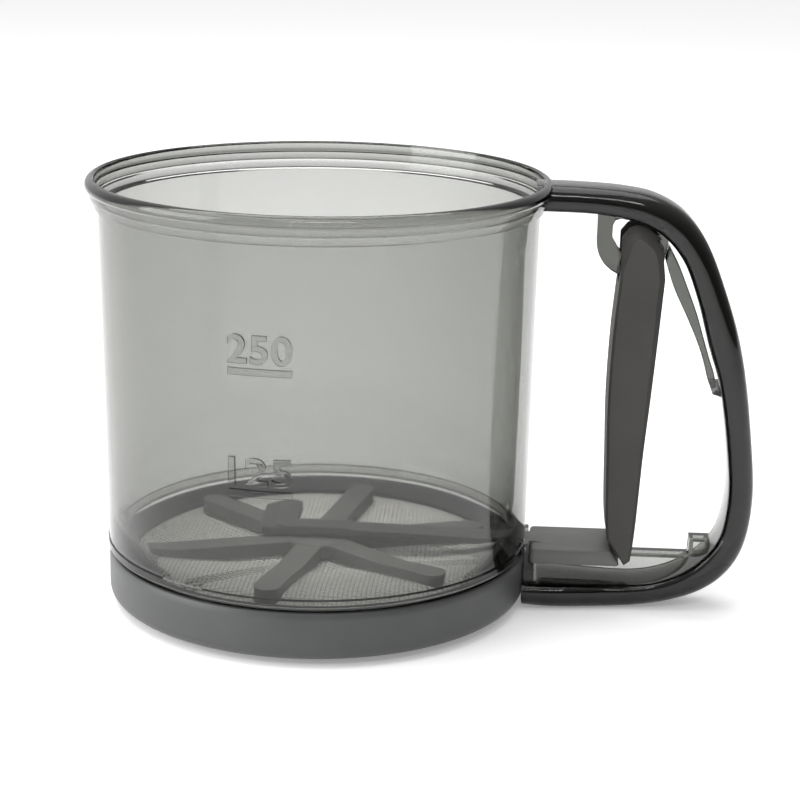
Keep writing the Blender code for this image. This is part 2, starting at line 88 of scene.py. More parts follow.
def arc(centre, radius, start, end, count):
    angles = [math.radians(start + (end - start) * i / count) for i in range(count + 1)]
    return [(centre[0] + radius * math.cos(a), centre[1] + radius * math.sin(a)) for a in angles]


def lerp(a, b, t):
    return a + (b - a) * t


def revolve(name, profile, steps):
    """A closed (radius, height) profile turned about Z, in faces by hand so that every ring is even."""
    verts = []
    for i in range(steps):
        a = 2 * math.pi * i / steps
        verts += [(r * math.cos(a), r * math.sin(a), z) for r, z in profile]
    n = len(profile)
    faces = []
    for i in range(steps):
        j = (i + 1) % steps
        faces += [(i * n + k, j * n + k, j * n + (k + 1) % n, i * n + (k + 1) % n) for k in range(n)]
    return solid(name, verts, faces)


def cylinder(name, radius, low, high, segments, centre=(0.0, 0.0), across=False):
    mesh = bpy.data.meshes.new(name)
    shape = bmesh.new()
    matrix = Matrix.Translation((centre[0], centre[1], (low + high) / 2))
    if across:
        upright = Matrix.Rotation(math.pi / 2, 4, 'X')
        matrix = Matrix.Translation((centre[0], (low + high) / 2, centre[1])) @ upright
    bmesh.ops.create_cone(shape, cap_ends=True, segments=segments, radius1=radius, radius2=radius,
                          depth=high - low, matrix=matrix)
    shape.to_mesh(mesh)
    shape.free()
    return new_object(name, mesh)


def box(name, xs, ys, zs):
    mesh = bpy.data.meshes.new(name)
    shape = bmesh.new()
    bmesh.ops.create_cube(shape, size=1.0)
    for v in shape.verts:
        v.co = Vector([pair[int(c > 0)] for pair, c in zip((xs, ys, zs), v.co)])
    shape.to_mesh(mesh)
    shape.free()
    return new_object(name, mesh)


def evaluated(obj):
    bpy.context.view_layer.update()
    graph = bpy.context.evaluated_depsgraph_get()
    return bpy.data.meshes.new_from_object(obj.evaluated_get(graph))


def bake(obj):
    """Applies an object's modifiers to its mesh."""
    mesh = evaluated(obj)
    obj.modifiers.clear()
    obj.data = mesh
    return obj


def combine(obj, other, operation='UNION'):
    """Joins obj with other, or cuts it by other, which is used up."""
    modifier = obj.modifiers.new("boolean", 'BOOLEAN')
    modifier.operation = operation
    modifier.solver = 'EXACT'
    modifier.use_self = obj.name == "handle"    # its own parts touch one another
    modifier.object = other
    bake(obj)
    bpy.data.objects.remove(other, do_unlink=True)
    return obj


def bevel(obj, width, segments, angle=40.0, weighted=False):
    modifier = obj.modifiers.new("bevel", 'BEVEL')
    modifier.width = width
    modifier.segments = segments
    modifier.limit_method = 'WEIGHT' if weighted else 'ANGLE'
    modifier.angle_limit = math.radians(angle)
    modifier.use_clamp_overlap = True
    return bake(obj)


def plate(name, outlines, half, upright=True, middle=0.0, smooth_points=False, resolution=6):
    """A filled outline thickened both ways, standing in XZ or lying in XY.

    A third value marks a sharp corner.
    """
    curve = bpy.data.curves.new(name, 'CURVE')
    curve.dimensions = '2D'
    curve.fill_mode = 'BOTH'
    curve.extrude = half
    curve.resolution_u = resolution if smooth_points else 1
    for outline in outlines:
        line = curve.splines.new('BEZIER')
        line.bezier_points.add(len(outline) - 1)
        for point, co in zip(line.bezier_points, outline):
            point.co = (co[0], co[1], 0.0)
            kind = 'AUTO' if smooth_points and len(co) == 2 else 'VECTOR'
            point.handle_left_type = kind
            point.handle_right_type = kind
        line.use_cyclic_u = True
    holder = new_object(name, curve)
    mesh = evaluated(holder)
    turn = Matrix.Rotation(math.pi / 2, 4, 'X') if upright else Matrix.Translation((0.0, 0.0, middle))
    mesh.transform(turn)
    mesh.materials.clear()
    bpy.data.objects.remove(holder, do_unlink=True)
    fix_normals(mesh)
    return new_object(name, mesh)


def weigh_rims(obj, share):
    """Gives the rim edges of an upright plate the bevel weight share(x, z), the lesser of their two ends."""
    shape = bmesh.new()
    shape.from_mesh(obj.data)
    layers = shape.edges.layers.float
    weight = layers.get("bevel_weight_edge") or layers.new("bevel_weight_edge")
    for edge in shape.edges:
        a, b = edge.verts[0].co, edge.verts[1].co
        rim = a.y * b.y > 0 and edge.calc_face_angle(0.0) > 1.0
        edge[weight] = min(float(share(a.x, a.z)), float(share(b.x, b.z))) if rim else 0.0
    shape.to_mesh(obj.data)
    shape.free()
    return obj


def round_rims(obj, width, keep, segments):
    """Rounds the rim edges of an upright plate where keep(x, z) holds at both ends."""
    return bevel(weigh_rims(obj, keep), width, segments, weighted=True)


def finish_piece(obj, name, body, material, nodes, angle=35.0):
    """Moves a piece into the row frame, smooths it, gives it its material and puts it on its body."""
    obj.data.transform(TO_FRAME)
    obj.name = name
    obj.data.name = name
    for collection in list(obj.users_collection):
        collection.objects.unlink(obj)
    bpy.context.scene.collection.objects.link(obj)
    obj.data.shade_smooth()
    obj.data.set_sharp_from_angle(angle=math.radians(angle))
    obj.data.materials.clear()
    obj.data.materials.append(material)
    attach(obj, body)
    if nodes:
        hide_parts(*nodes)
    return obj


# ------------------------------------------------------------------ materials

def material(name):
    made = bpy.data.materials.new(name)
    made.use_nodes = True
    return made, made.node_tree, made.node_tree.nodes["Principled BSDF"]


def noise(tree, scale, detail=4.0):
    coords = tree.nodes.new("ShaderNodeTexCoord")
    node = tree.nodes.new("ShaderNodeTexNoise")
    node.inputs["Scale"].default_value = scale
    node.inputs["Detail"].default_value = detail
    node.inputs["Roughness"].default_value = 0.55
    tree.links.new(coords.outputs["Object"], node.inputs["Vector"])
    return node.outputs["Fac"]


def ramp(tree, factor, low, high, low_at=0.35, high_at=0.65):
    node = tree.nodes.new("ShaderNodeValToRGB")
    node.color_ramp.elements[0].position = low_at
    node.color_ramp.elements[1].position = high_at
    node.color_ramp.elements[0].color = (*low, 1.0)
    node.color_ramp.elements[1].color = (*high, 1.0)
    tree.links.new(factor, node.inputs["Fac"])
    return node.outputs["Color"]


def scaled(tree, factor, low, high):
    node = tree.nodes.new("ShaderNodeMapRange")
    node.inputs["To Min"].default_value = low
    node.inputs["To Max"].default_value = high
    tree.links.new(factor, node.inputs["Value"])
    return node.outputs["Result"]


def bump(tree, shader, height, strength, distance):
    node = tree.nodes.new("ShaderNodeBump")
    node.inputs["Strength"].default_value = strength
    node.inputs["Distance"].default_value = distance
    tree.links.new(height, node.inputs["Height"])
    tree.links.new(node.outputs["Normal"], shader.inputs["Normal"])


def smoke_plastic(name, depth, density):
    """Clear plastic whose tint comes from its depth, with a slightly uneven gloss."""
    made, tree, shader = material(name)
    shader.inputs["Base Color"].default_value = (1.0, 1.0, 1.0, 1.0)
    shader.inputs["Transmission Weight"].default_value = 1.0
    shader.inputs["IOR"].default_value = 1.49
    shader.inputs["Specular IOR Level"].default_value = 0.36
    tree.links.new(scaled(tree, noise(tree, 90.0), 0.02, 0.07), shader.inputs["Roughness"])
    absorb = tree.nodes.new("ShaderNodeVolumeAbsorption")
    absorb.inputs["Color"].default_value = (*depth, 1.0)
    absorb.inputs["Density"].default_value = density
    tree.links.new(absorb.outputs["Volume"], tree.nodes["Material Output"].inputs["Volume"])
    return made


def moulded(name, low, high, roughness, grain=0.00006, grain_scale=5200.0, spread=0.06):
    """Opaque moulded plastic: faint cloudiness, fine grain and uneven gloss."""
    made, tree, shader = material(name)
    tree.links.new(ramp(tree, noise(tree, 60.0, 5.0), low, high, 0.3, 0.7), shader.inputs["Base Color"])
    tree.links.new(scaled(tree, noise(tree, 240.0, 3.0), roughness - spread, roughness + spread),
                   shader.inputs["Roughness"])
    bump(tree, shader, noise(tree, grain_scale, 2.0), 0.5, grain)
    return made


def metal(name, low, high, roughness):
    made, tree, shader = material(name)
    shader.inputs["Metallic"].default_value = 1.0
    tree.links.new(ramp(tree, noise(tree, 900.0, 3.0), low, high), shader.inputs["Base Color"])
    tree.links.new(scaled(tree, noise(tree, 1500.0, 3.0), roughness - 0.08, roughness + 0.1),
                   shader.inputs["Roughness"])
    return made


SMOKE = smoke_plastic("smoke_plastic", (0.10, 0.115, 0.07), 480.0)
SMOKE_LEAF = smoke_plastic("smoke_plastic_leaf", (0.10, 0.12, 0.08), 220.0)
SATIN = moulded("satin_plastic", (0.052, 0.054, 0.054), (0.064, 0.066, 0.065), 0.42)
ROTOR = moulded("agitator_plastic", (0.185, 0.188, 0.176), (0.22, 0.22, 0.207), 0.5)
ROD = moulded("rod_plastic", (0.1, 0.1, 0.096), (0.12, 0.12, 0.115), 0.42)
LEVER = moulded("trigger_plastic", (0.036, 0.034, 0.031), (0.048, 0.045, 0.041), 0.62, grain=0.00012)
WIRE = metal("steel_cloth", (0.6, 0.59, 0.565), (0.78, 0.765, 0.73), 0.4)
STEEL = metal("steel", (0.5, 0.5, 0.5), (0.66, 0.66, 0.66), 0.3)


# ------------------------------------------------------------------ cup, handle and bearing loop

WALL_FOOT_R, WALL_HEAD_R = 50.0, 51.15
BAND = (12.6, 14.6)
STEP_Z = 93.7
ROOT_HALF, HANDLE_HALF = 9.8, 7.0
TAPER = (50.0, 78.0)
HANDLE_OUTER = [
    (50.0, 99.9), (60.0, 99.7), (70.0, 99.1), (77.0, 97.8), (83.8, 94.2), (89.0, 88.0), (94.8, 74.6),
    (98.7, 62.0), (101.8, 43.5), (103.3, 25.5), (101.6, 14.2), (98.2, 7.9), (92.8, 3.4), (85.0, 0.4),
    (76.0, -1.2), (66.0, -1.45), (56.0, -1.3), (47.6, -0.5)]
HANDLE_INNER = [
    (50.0, 94.0), (65.0, 93.5), (73.5, 91.8), (79.0, 89.0), (83.8, 83.6), (87.6, 74.6), (91.0, 63.0),
    (93.7, 54.6), (96.3, 39.6), (97.3, 26.5), (95.6, 16.4), (92.4, 11.8), (88.0, 8.2), (83.0, 5.9),
    (77.0, 4.6), (66.0, 4.4), (53.2, 4.5), (47.6, 4.6)]
NECK = [
    (47.6, 14.4), (50.9, 14.4), (50.9, 9.6), (52.3, 8.6), (52.3, 5.4), (53.2, 4.3), (53.2, 2.0), (47.6, 2.0)]
RAIL = [(50.6, 2.0, 9.6), *((float(x), 2.0, 9.6) for x in range(52, 79, 2)), (80.0, 2.5, 9.6),
        (85.0, 3.5, 9.6), (89.4, 5.0, 9.6), (89.6, 5.2, 13.9), (95.2, 10.0, 13.9)]
PIVOT = (72.4, 83.6)
LOOP_CENTRE, LOOP_R, LOOP_HALF = (72.25, 87.0), 8.15, 3.0
MARK_ANGLE = math.radians(-98.9)
MARK_HEIGHT, MARK_WIDTH = 6.1, 14.3
AROUND = 288                                    # steps round the cup


def cup_profile():
    lip = arc((52.3, 98.5), 1.7, 90.0, -20.0, 10)
    wall = [(lerp(WALL_HEAD_R, WALL_FOOT_R, t / 12), lerp(STEP_Z - 0.2, BAND[1] + 0.2, t / 12))
            for t in range(13)]
    outer = lip + [(53.6, 97.5), (53.25, 97.3), (53.2, 96.0), (53.05, 95.75), (52.4, 95.65), (52.3, 94.0),
                   (52.15, STEP_Z), (51.4, STEP_Z - 0.1)] + wall
    outer += [(50.3, BAND[1] - 0.2), (50.3, BAND[0] + 0.2), (50.1, BAND[0]), (48.7, BAND[0]), (48.7, 8.7)]
    inner_wall = [(lerp(48.5, 49.6, t / 12), lerp(15.6, STEP_Z - 0.4, t / 12)) for t in range(13)]
    inner = [(48.0, 8.7), (48.0, BAND[1])] + inner_wall
    inner += [(50.5, STEP_Z - 0.2), (50.8, STEP_Z + 0.1), (50.95, 95.3), (51.45, 95.6), (51.6, 97.4),
              (51.7, 98.7), (51.9, 99.9)]
    return outer + inner


def handle_half(x):
    t = min(max((TAPER[1] - x) / (TAPER[1] - TAPER[0]), 0.0), 1.0)
    return lerp(HANDLE_HALF, ROOT_HALF, t * t * (3 - 2 * t))


def spline(points, count):
    """A smooth curve through the points, cut into count even lengths."""
    dense = []
    ends = [2 * Vector(points[0]) - Vector(points[1])] + [Vector(p) for p in points]
    ends.append(2 * Vector(points[-1]) - Vector(points[-2]))
    for p0, p1, p2, p3 in zip(ends, ends[1:], ends[2:], ends[3:]):
        d1, d2, d3 = [max((b - a).length, 1e-6) ** 0.5 for a, b in ((p0, p1), (p1, p2), (p2, p3))]
        m1 = (p2 - p1) + d2 * ((p1 - p0) / d1 - (p2 - p0) / (d1 + d2))
        m2 = (p2 - p1) + d2 * ((p3 - p2) / d3 - (p3 - p1) / (d2 + d3))
        for i in range(24):
            t = i / 24
            dense.append((2 * t ** 3 - 3 * t ** 2 + 1) * p1 + (t ** 3 - 2 * t ** 2 + t) * m1
                         + (3 * t ** 2 - 2 * t ** 3) * p2 + (t ** 3 - t ** 2) * m2)
    dense.append(Vector(points[-1]))
    run = [0.0]
    for a, b in zip(dense, dense[1:]):
        run.append(run[-1] + (b - a).length)
    result, k = [], 0
    for i in range(count + 1):
        want = run[-1] * i / count
        while k < len(run) - 2 and run[k + 1] < want:
            k += 1
        result.append(dense[k].lerp(dense[k + 1], (want - run[k]) / max(run[k + 1] - run[k], 1e-9)))
    return result


def handle(outer_round=3.8, inner_round=1.8, count=150):
    """The D handle as one sweep: a rounded section between matched points of its two outlines."""
    outside, inside = spline(HANDLE_OUTER, count), spline(HANDLE_INNER, count)
    corner = [math.radians(a) for a in (0, 15, 30, 45, 60, 75, 90)]
    verts, faces = [], []
    for out, into in zip(outside, inside):
        across = into - out
        depth = across.length
        half = handle_half((out.x + into.x) / 2) if out.y < 40.0 else HANDLE_HALF
        big, small = min(outer_round, depth * 0.55), min(inner_round, depth * 0.4)
        low = [(big * (1 - math.sin(a)), half - big * (1 - math.cos(a))) for a in reversed(corner)]
        high = [(depth - small * (1 - math.sin(a)), half - small * (1 - math.cos(a))) for a in corner]
        loop = low + high
        loop = [(d, -y) for d, y in loop] + [(d, y) for d, y in reversed(loop)]
        for d, y in loop:
            point = out + across * (d / depth)
            verts.append((point.x, y, point.y))
    n = len(verts) // (count + 1)
    for i in range(count):
        faces += [(i * n + k, i * n + (k + 1) % n, (i + 1) * n + (k + 1) % n, (i + 1) * n + k)
                  for k in range(n)]
    faces.append(tuple(reversed(range(n))))
    faces.append(tuple(count * n + k for k in range(n)))
    made = solid("handle", verts, faces)
    combine(made, plate("neck", [NECK], HANDLE_HALF))
    combine(made, guide_rail())
    return combine(made, cylinder("ring_room", 50.35, -6.0, BAND[0] - 0.2, 256), 'DIFFERENCE')


def far_edge_strip(stations, inset, width):
    """A strip that follows the handle's far side, from (x, low, high) stations."""
    verts, faces = [], []
    for x, low, high in stations:
        outer = handle_half(x) - inset
        verts += [(x, outer, low), (x, outer, high), (x, outer - width, high), (x, outer - width, low)]
    for i in range(0, len(verts) - 4, 4):
        faces += [(i + k, i + (k + 1) % 4, i + 4 + (k + 1) % 4, i + 4 + k) for k in range(4)]
    faces += [(3, 2, 1, 0), tuple(range(len(verts) - 4, len(verts)))]
    return solid("strip", verts, faces)


def guide_rail():
    """The rail along the lower arm's far edge, its raised stop and the flange turned in from the top."""
    rail = bevel(far_edge_strip(RAIL, 0.15, 1.4), 0.3, 3, 60.0)
    runs = ([(50.6, 8.6, 9.6), *((float(x), 8.6, 9.6) for x in range(52, 79, 2)), (90.6, 8.6, 9.6)],
            [(89.6, 8.8, 13.9), (90.6, 8.8, 13.9)], [(90.0, 12.9, 13.9), (95.2, 12.9, 13.9)])
    for run in runs:
        combine(rail, far_edge_strip(run, 0.35, 4.0))
    return rail


def bearing_loop():
    outer = [(64.1, 96.0)] + arc(LOOP_CENTRE, LOOP_R, 180.0, 360.0, 36) + [(80.4, 90.0), (78.0, 96.0)]
    window = (arc(PIVOT, 2.05, 205.0, 335.0, 12) + [(76.9, 87.3), (76.6, 90.6), (74.4, 91.6)]
              + [(69.4, 92.3), (68.2, 91.9), (67.7, 90.8), (67.6, 88.0)])
    return round_rims(plate("bearing_loop", [outer, window], LOOP_HALF), 0.5, lambda x, z: z < 92.0, 3)


def wall_radius(z):
    return lerp(WALL_FOOT_R, WALL_HEAD_R, (z - BAND[1]) / (STEP_Z - BAND[1]))


def wrap_on_wall(obj, middle_z):
    """Bends a flat drawing (x along the wall, y up, z outwards) round the cup's wall."""
    for v in obj.data.vertices:
        z = middle_z + v.co.y
        radius = wall_radius(z) + v.co.z
        angle = MARK_ANGLE + v.co.x / wall_radius(z)
        v.co = (radius * math.cos(angle), radius * math.sin(angle), z)
    return obj


def digits(number, foot_z):
    """Raised numerals, bent round the wall."""
    text = bpy.data.curves.new("digits", 'FONT')
    text.body = number
    text.size = MARK_HEIGHT * 1.42
    text.align_x = 'CENTER'
    text.extrude = 0.55
    text.offset = 0.2
    text.resolution_u = 6
    text.space_character = 1.06
    holder = new_object("digits_" + number, text)
    mesh = evaluated(holder)
    bpy.data.objects.remove(holder, do_unlink=True)
    fix_normals(mesh)
    reach = [v.co.x for v in mesh.vertices]
    middle, stretch = (max(reach) + min(reach)) / 2, MARK_WIDTH / (max(reach) - min(reach))
    for v in mesh.vertices:
        v.co.x = (v.co.x - middle) * stretch
    return wrap_on_wall(new_object("digits_" + number, mesh), foot_z)


def underline(foot_z):
    """The raised bar under a number."""
    bar = box("underline", (-MARK_WIDTH / 2, MARK_WIDTH / 2), (-0.75, 0.75), (-0.5, 0.5))
    shape = bmesh.new()
    shape.from_mesh(bar.data)
    long_edges = [e for e in shape.edges if abs(e.verts[0].co.x - e.verts[1].co.x) > 1.0]
    bmesh.ops.subdivide_edges(shape, edges=long_edges, cuts=23, use_grid_fill=True)
    shape.to_mesh(bar.data)
    shape.free()
    return wrap_on_wall(bar, foot_z)


def cup():
    body = revolve("cup", cup_profile(), AROUND)
    arm = handle()
    combine(arm, bearing_loop())
    combine(arm, plate("spring_seat", [[(92.4, 51.7), (96.0, 50.6), (96.0, 53.6), (93.5, 53.3)]], 4.0))
    combine(arm, cylinder("cup_room", 49.0, BAND[0] - 0.2, 120.0, AROUND), 'DIFFERENCE')
    combine(body, arm)
    for number, foot in (("250", 67.9), ("125", 40.6)):
        combine(body, digits(number, foot))
        combine(body, underline(foot - 2.0))
    combine(body, box("rod_window", (45.0, 53.0), (-4.4, 4.4), (11.9, 15.1)), 'DIFFERENCE')
    return finish_piece(body, "cup", "cup", SMOKE, ["cup_body"], 30.0)


def leaf_spring():
    side = [(79.9, 83.4, 0), (80.9, 86.2, 0), (83.0, 82.4), (85.1, 77.5), (87.6, 71.3), (89.4, 65.8),
            (91.1, 60.6), (92.3, 57.2), (93.0, 54.0, 0), (91.9, 53.4, 0), (91.0, 55.4), (89.9, 59.3),
            (88.4, 63.6), (85.3, 70.5), (82.0, 77.3)]
    leaf = bevel(plate("leaf", [side], 6.3, smooth_points=True, resolution=4), 0.45, 3, 55.0)
    return finish_piece(leaf, "leaf_spring", "cup", SMOKE_LEAF, ["return_spring"])


# ------------------------------------------------------------------ ring and sieve

def ring():
    foot = arc((47.4, 2.6), 2.6, 0.0, -90.0, 8)
    profile = [(49.0, 11.2), (49.1, 11.4), (49.3, 11.4), (49.55, 11.3), (49.75, 11.0), (49.95, 9.9)]
    profile += [(50.0, 9.5)] + foot
    profile += [(44.4, BASE_Z), (42.6, BASE_Z), (42.3, -1.4), (42.2, -1.1), (42.2, 5.4), (42.6, 6.0),
                (42.6, 7.9), (47.7, 7.9), (47.7, 8.1), (49.0, 8.1)]
    made = revolve("ring", profile, AROUND)
    for i in range(3):
        spoke = bevel(box("spoke", (1.0, 43.1), (-1.5, 1.5), (6.3, 7.8)), 0.4, 2)
        spoke.data.transform(Matrix.Rotation(math.radians(-12.0 + 120.0 * i), 4, 'Z'))
        combine(made, spoke)
    combine(made, bevel(cylinder("boss", 6.0, 4.5, 7.85, 64), 0.5, 3))
    combine(made, cylinder("bore", 2.3, 2.0, 10.0, 32), 'DIFFERENCE')
    return finish_piece(made, "screen_ring_rim", "cup", SATIN, ["screen_ring"])


def retainer():
    profile = [(46.9, 12.3), (47.1, 12.4), (47.5, 12.4), (47.7, 12.1), (47.7, 8.4), (44.6, 8.4), (44.6, 9.3)]
    made = revolve("retainer", profile, AROUND)
    combine(made, box("notch", (40.0, 50.0), (-5.0, 5.0), (11.5, 14.0)), 'DIFFERENCE')
    return finish_piece(made, "retainer_ring", "cup", SATIN, ["sieve_retainer"])


def woven_sieve(pitch=1.06, wire=0.15, radius=47.1, middle=8.15):
    """Plain-weave wire cloth: every wire is a square-sided tube going over and under the ones it crosses."""
    verts, faces = [], []
    count = int(radius / pitch)
    sides = ((1, 0), (0, 1), (-1, 0), (0, -1))
    for turn in (0, 1):
        for line in range(-count, count + 1):
            across = (line + 0.5) * pitch
            if abs(across) >= radius - 0.3:
                continue
            half = math.sqrt(radius ** 2 - across ** 2)
            steps = int(half / (pitch / 2))
            start = len(verts)
            for step in range(-steps, steps + 1):
                along = step * pitch / 2
                wave = math.sin(math.pi * along / pitch) * (1 if (line + turn) % 2 else -1)
                for side, up in sides:
                    a, c = across + side * wire, middle + wave * wire * 0.75 + up * wire
                    verts.append((along, a, c) if turn == 0 else (a, along, c))
            n = 2 * steps
            for i in range(n):
                for k in range(4):
                    p, q = start + 4 * i + k, start + 4 * i + (k + 1) % 4
                    faces.append((p, q, q + 4, p + 4))
            faces.append(tuple(start + k for k in (3, 2, 1, 0)))
            faces.append(tuple(start + 4 * n + k for k in range(4)))
    mesh = bpy.data.meshes.new("woven")
    mesh.from_pydata(verts, [], faces)
    shape = bmesh.new()
    shape.from_mesh(mesh)
    bmesh.ops.recalc_face_normals(shape, faces=shape.faces)
    shape.to_mesh(mesh)
    shape.free()
    cloth = new_object("woven", mesh)
    return finish_piece(cloth, "woven_sieve", "cup", WIRE, ["sieve_mesh"], 70.0)


# ------------------------------------------------------------------ moving pieces

CRANK_R, CRANK_ANGLE = 13.4, math.radians(138.5)
YOKE_HALF = 2.4
ROD_HALF = 3.7
LINK = (72.9, 13.0)


def rotor():
    made = bevel(cylinder("hub", 8.0, 9.0, 12.6, 96), 0.5, 3)
    for i in range(6):
        tip = arc((38.7, 0.0), 3.1, -90.0, 90.0, 16)
        arm = plate("arm", [[(2.0, -3.1)] + tip + [(2.0, 3.1)]], 1.65, upright=False, middle=10.65)
        bevel(arm, 0.75, 4, 60.0)
        arm.data.transform(Matrix.Rotation(CRANK_ANGLE + i * math.pi / 3, 4, 'Z'))
        combine(made, arm)
    crank = (CRANK_R * math.cos(CRANK_ANGLE), CRANK_R * math.sin(CRANK_ANGLE))
    combine(made, bevel(cylinder("crank", 1.6, 11.3, 13.8, 32, crank), 0.3, 2))
    combine(made, cylinder("bore", 2.3, 8.0, 11.9, 32), 'DIFFERENCE')
    return finish_piece(made, "rotor", "rotor", ROTOR, ["agitator"])


def rod():
    cx, cy = CRANK_R * math.cos(CRANK_ANGLE), CRANK_R * math.sin(CRANK_ANGLE)
    left, right, far, near = cx - 4.3, cx + 4.6, CRANK_R + 4.8, -2.6
    plan = [(left, 0.6), (left + 1.0, near + 0.6), (cx + 2.0, near + 0.6), (cx + 6.0, near + 0.3),
            (8.0, near), (8.0, ROD_HALF), (right, ROD_HALF), (right, far - 1.5), (right - 1.5, far),
            (left + 2.6, far), (left, far - 3.0)]
    made = bevel(plate("rod", [plan], 0.85, upright=False, middle=13.85), 0.3, 3, 60.0)
    step = cx - 0.5
    cover = arc((step + 3.6, near + 4.0), 3.6, 180.0, 270.0, 10)
    cover += [(8.0, near + 0.05), (8.0, 3.65), (right - 0.05, 3.75), (right - 0.05, far - 1.5),
              (right - 1.5, far - 0.05), (step, far - 0.05)]
    combine(made, bevel(plate("rod_cover", [cover], 0.45, upright=False, middle=14.75), 0.35, 3, 60.0))
    slope = plate("slope", [[(5.0, 15.15), (5.0, 13.05), (58.0, 12.2), (58.0, 13.2), (52.0, 13.9)]], 3.65)
    for v in slope.data.vertices:
        if v.co.y < 0:
            v.co.y = lerp(near + 0.05, -3.65, (v.co.x - 5.0) / 53.0)
    combine(made, bevel(slope, 0.3, 3, 60.0))
    bar = plate("bar", [[(51.2, 13.6), (51.2, 9.9), (72.7, 9.9), (70.1, 13.6)]], 8.7)
    combine(made, bevel(bar, 0.9, 5, 60.0))
    tongue = [(62.0, 10.2), (75.0, 10.2), (75.0, 15.2), (70.8, 15.2), (69.0, 12.5), (62.0, 12.5)]
    combine(made, bevel(plate("tongue", [tongue], 3.4), 0.3, 2, 60.0))
    slot = [(cx - YOKE_HALF, cy - 3.0), (cx + YOKE_HALF, cy - 3.0)]
    slot += arc((cx, CRANK_R - 0.2), YOKE_HALF, 0.0, 180.0, 16)
    combine(made, plate("yoke_slot", [slot], 1.05, upright=False, middle=13.05), 'DIFFERENCE')
    combine(made, box("link_slot", (71.6, 74.2), (-6.0, 6.0), (11.6, 20.0)), 'DIFFERENCE')
    return finish_piece(made, "push_bar", "rod", ROD, ["push_rod"])


TRIGGER_OUTLINE = [
    (69.8, 81.0), (69.2, 73.5), (68.6, 65.7), (68.1, 50.0), (68.4, 34.0), (68.8, 20.6), (69.2, 16.4),
    (73.5, 10.1), (74.9, 11.2), (75.6, 17.5), (76.9, 38.0), (77.9, 50.0), (79.1, 66.0), (80.0, 79.0),
    (79.5, 83.2), (79.8, 85.2), (79.3, 87.4), (78.0, 88.9), (75.4, 90.8), (73.2, 91.2), (71.4, 90.4),
    (69.8, 88.4)]


def lever_half(z):
    return lerp(8.5, 7.2, min(max((z - 10.0) / 80.0, 0.0), 1.0))


def taper(obj, inset):
    """Draws an upright plate's sides in to the lever's own taper."""
    for v in obj.data.vertices:
        v.co.y = math.copysign(lever_half(v.co.z) - inset, v.co.y)
    return obj


def rim_chamfer(x, z):
    """Width of the lever's flat chamfer: broad round the head, narrower down the back, least in front."""
    back = x > 75.6 + (z - 17.5) * 0.0725 - 1.6 and z > 17.0
    head = min(max((z - 82.0) / 4.0, 0.0), 1.0)
    return max(lerp(0.6, 2.7, head), lerp(0.7, 1.4, min(max((z - 30.0) / 45.0, 0.0), 1.0)) if back else 0.6)


def turn_sign(outline):
    """1 for an outline that runs anticlockwise, -1 for clockwise."""
    area = sum(a.x * b.y - b.x * a.y for a, b in zip(outline, outline[1:] + outline[:1]))
    return math.copysign(1.0, area)


def lever_blank():
    """The lever's outer shape: its side outline between two faces drawn in by the chamfer."""
    front, back = spline(TRIGGER_OUTLINE[:7], 40), spline(TRIGGER_OUTLINE[8:14], 40)
    head = [Vector(p) for p in TRIGGER_OUTLINE[14:]]
    outline = front + [Vector(TRIGGER_OUTLINE[7])] + back + head
    n = len(outline)
    inner = []
    for i, point in enumerate(outline):
        along = (outline[(i + 1) % n] - point).normalized() + (point - outline[i - 1]).normalized()
        inwards = Vector((-along.y, along.x)).normalized()
        inner.append(point + inwards * rim_chamfer(*point) * turn_sign(outline))
    verts = []
    for side in (-1, 1):
        for points, deep in ((inner, False), (outline, True)):
            for point, full in zip(points, outline):
                y = lever_half(full.y) - (rim_chamfer(*full) if deep else 0.0)
                verts.append((point.x, side * y, point.y))
    near_in, near_out, far_in, far_out = (range(k * n, (k + 1) * n) for k in range(4))
    faces = [tuple(near_in), tuple(far_in)]
    for one, two in ((near_in, near_out), (near_out, far_out), (far_out, far_in)):
        faces += [(one[i], one[(i + 1) % n], two[(i + 1) % n], two[i]) for i in range(n)]
    return solid("lever", verts, faces)


def lever():
    made = lever_blank()
    front = [(x + 1.9, z) for x, z in TRIGGER_OUTLINE[:6]]
    side = front + [(71.2, 17.6), (71.0, 5.0), (90.0, 5.0), (90.0, 86.6), (76.0, 88.2), (71.9, 88.4)]
    combine(made, taper(plate("hollow", [side], 5.0), 1.9), 'DIFFERENCE')
    combine(made, box("foot_mouth", (60.0, 80.0), (-3.9, 3.9), (5.0, 17.6)), 'DIFFERENCE')
    combine(made, box("loop_slot", (60.0, 90.0), (-3.5, 3.5), (77.6, 95.0)), 'DIFFERENCE')
    combine(made, cylinder("pivot_bore", 1.85, -6.3, 11.3, 32, PIVOT, across=True), 'DIFFERENCE')
    combine(made, cylinder("link_bore", 1.1, -7.4, 7.4, 24, LINK, across=True), 'DIFFERENCE')
    return finish_piece(made, "lever", "trigger_lever", LEVER, ["trigger"])


cup()
leaf_spring()
ring()
retainer()
woven_sieve()
rotor()
rod()
lever()
for node in ("centre_plate", "axle_rivet", "trigger_pin", "link_pin"):
    small = frame["nodes"][node]
    small.data.materials.clear()
    small.data.materials.append(STEEL)


# ------------------------------------------------------------------ stage, light and camera

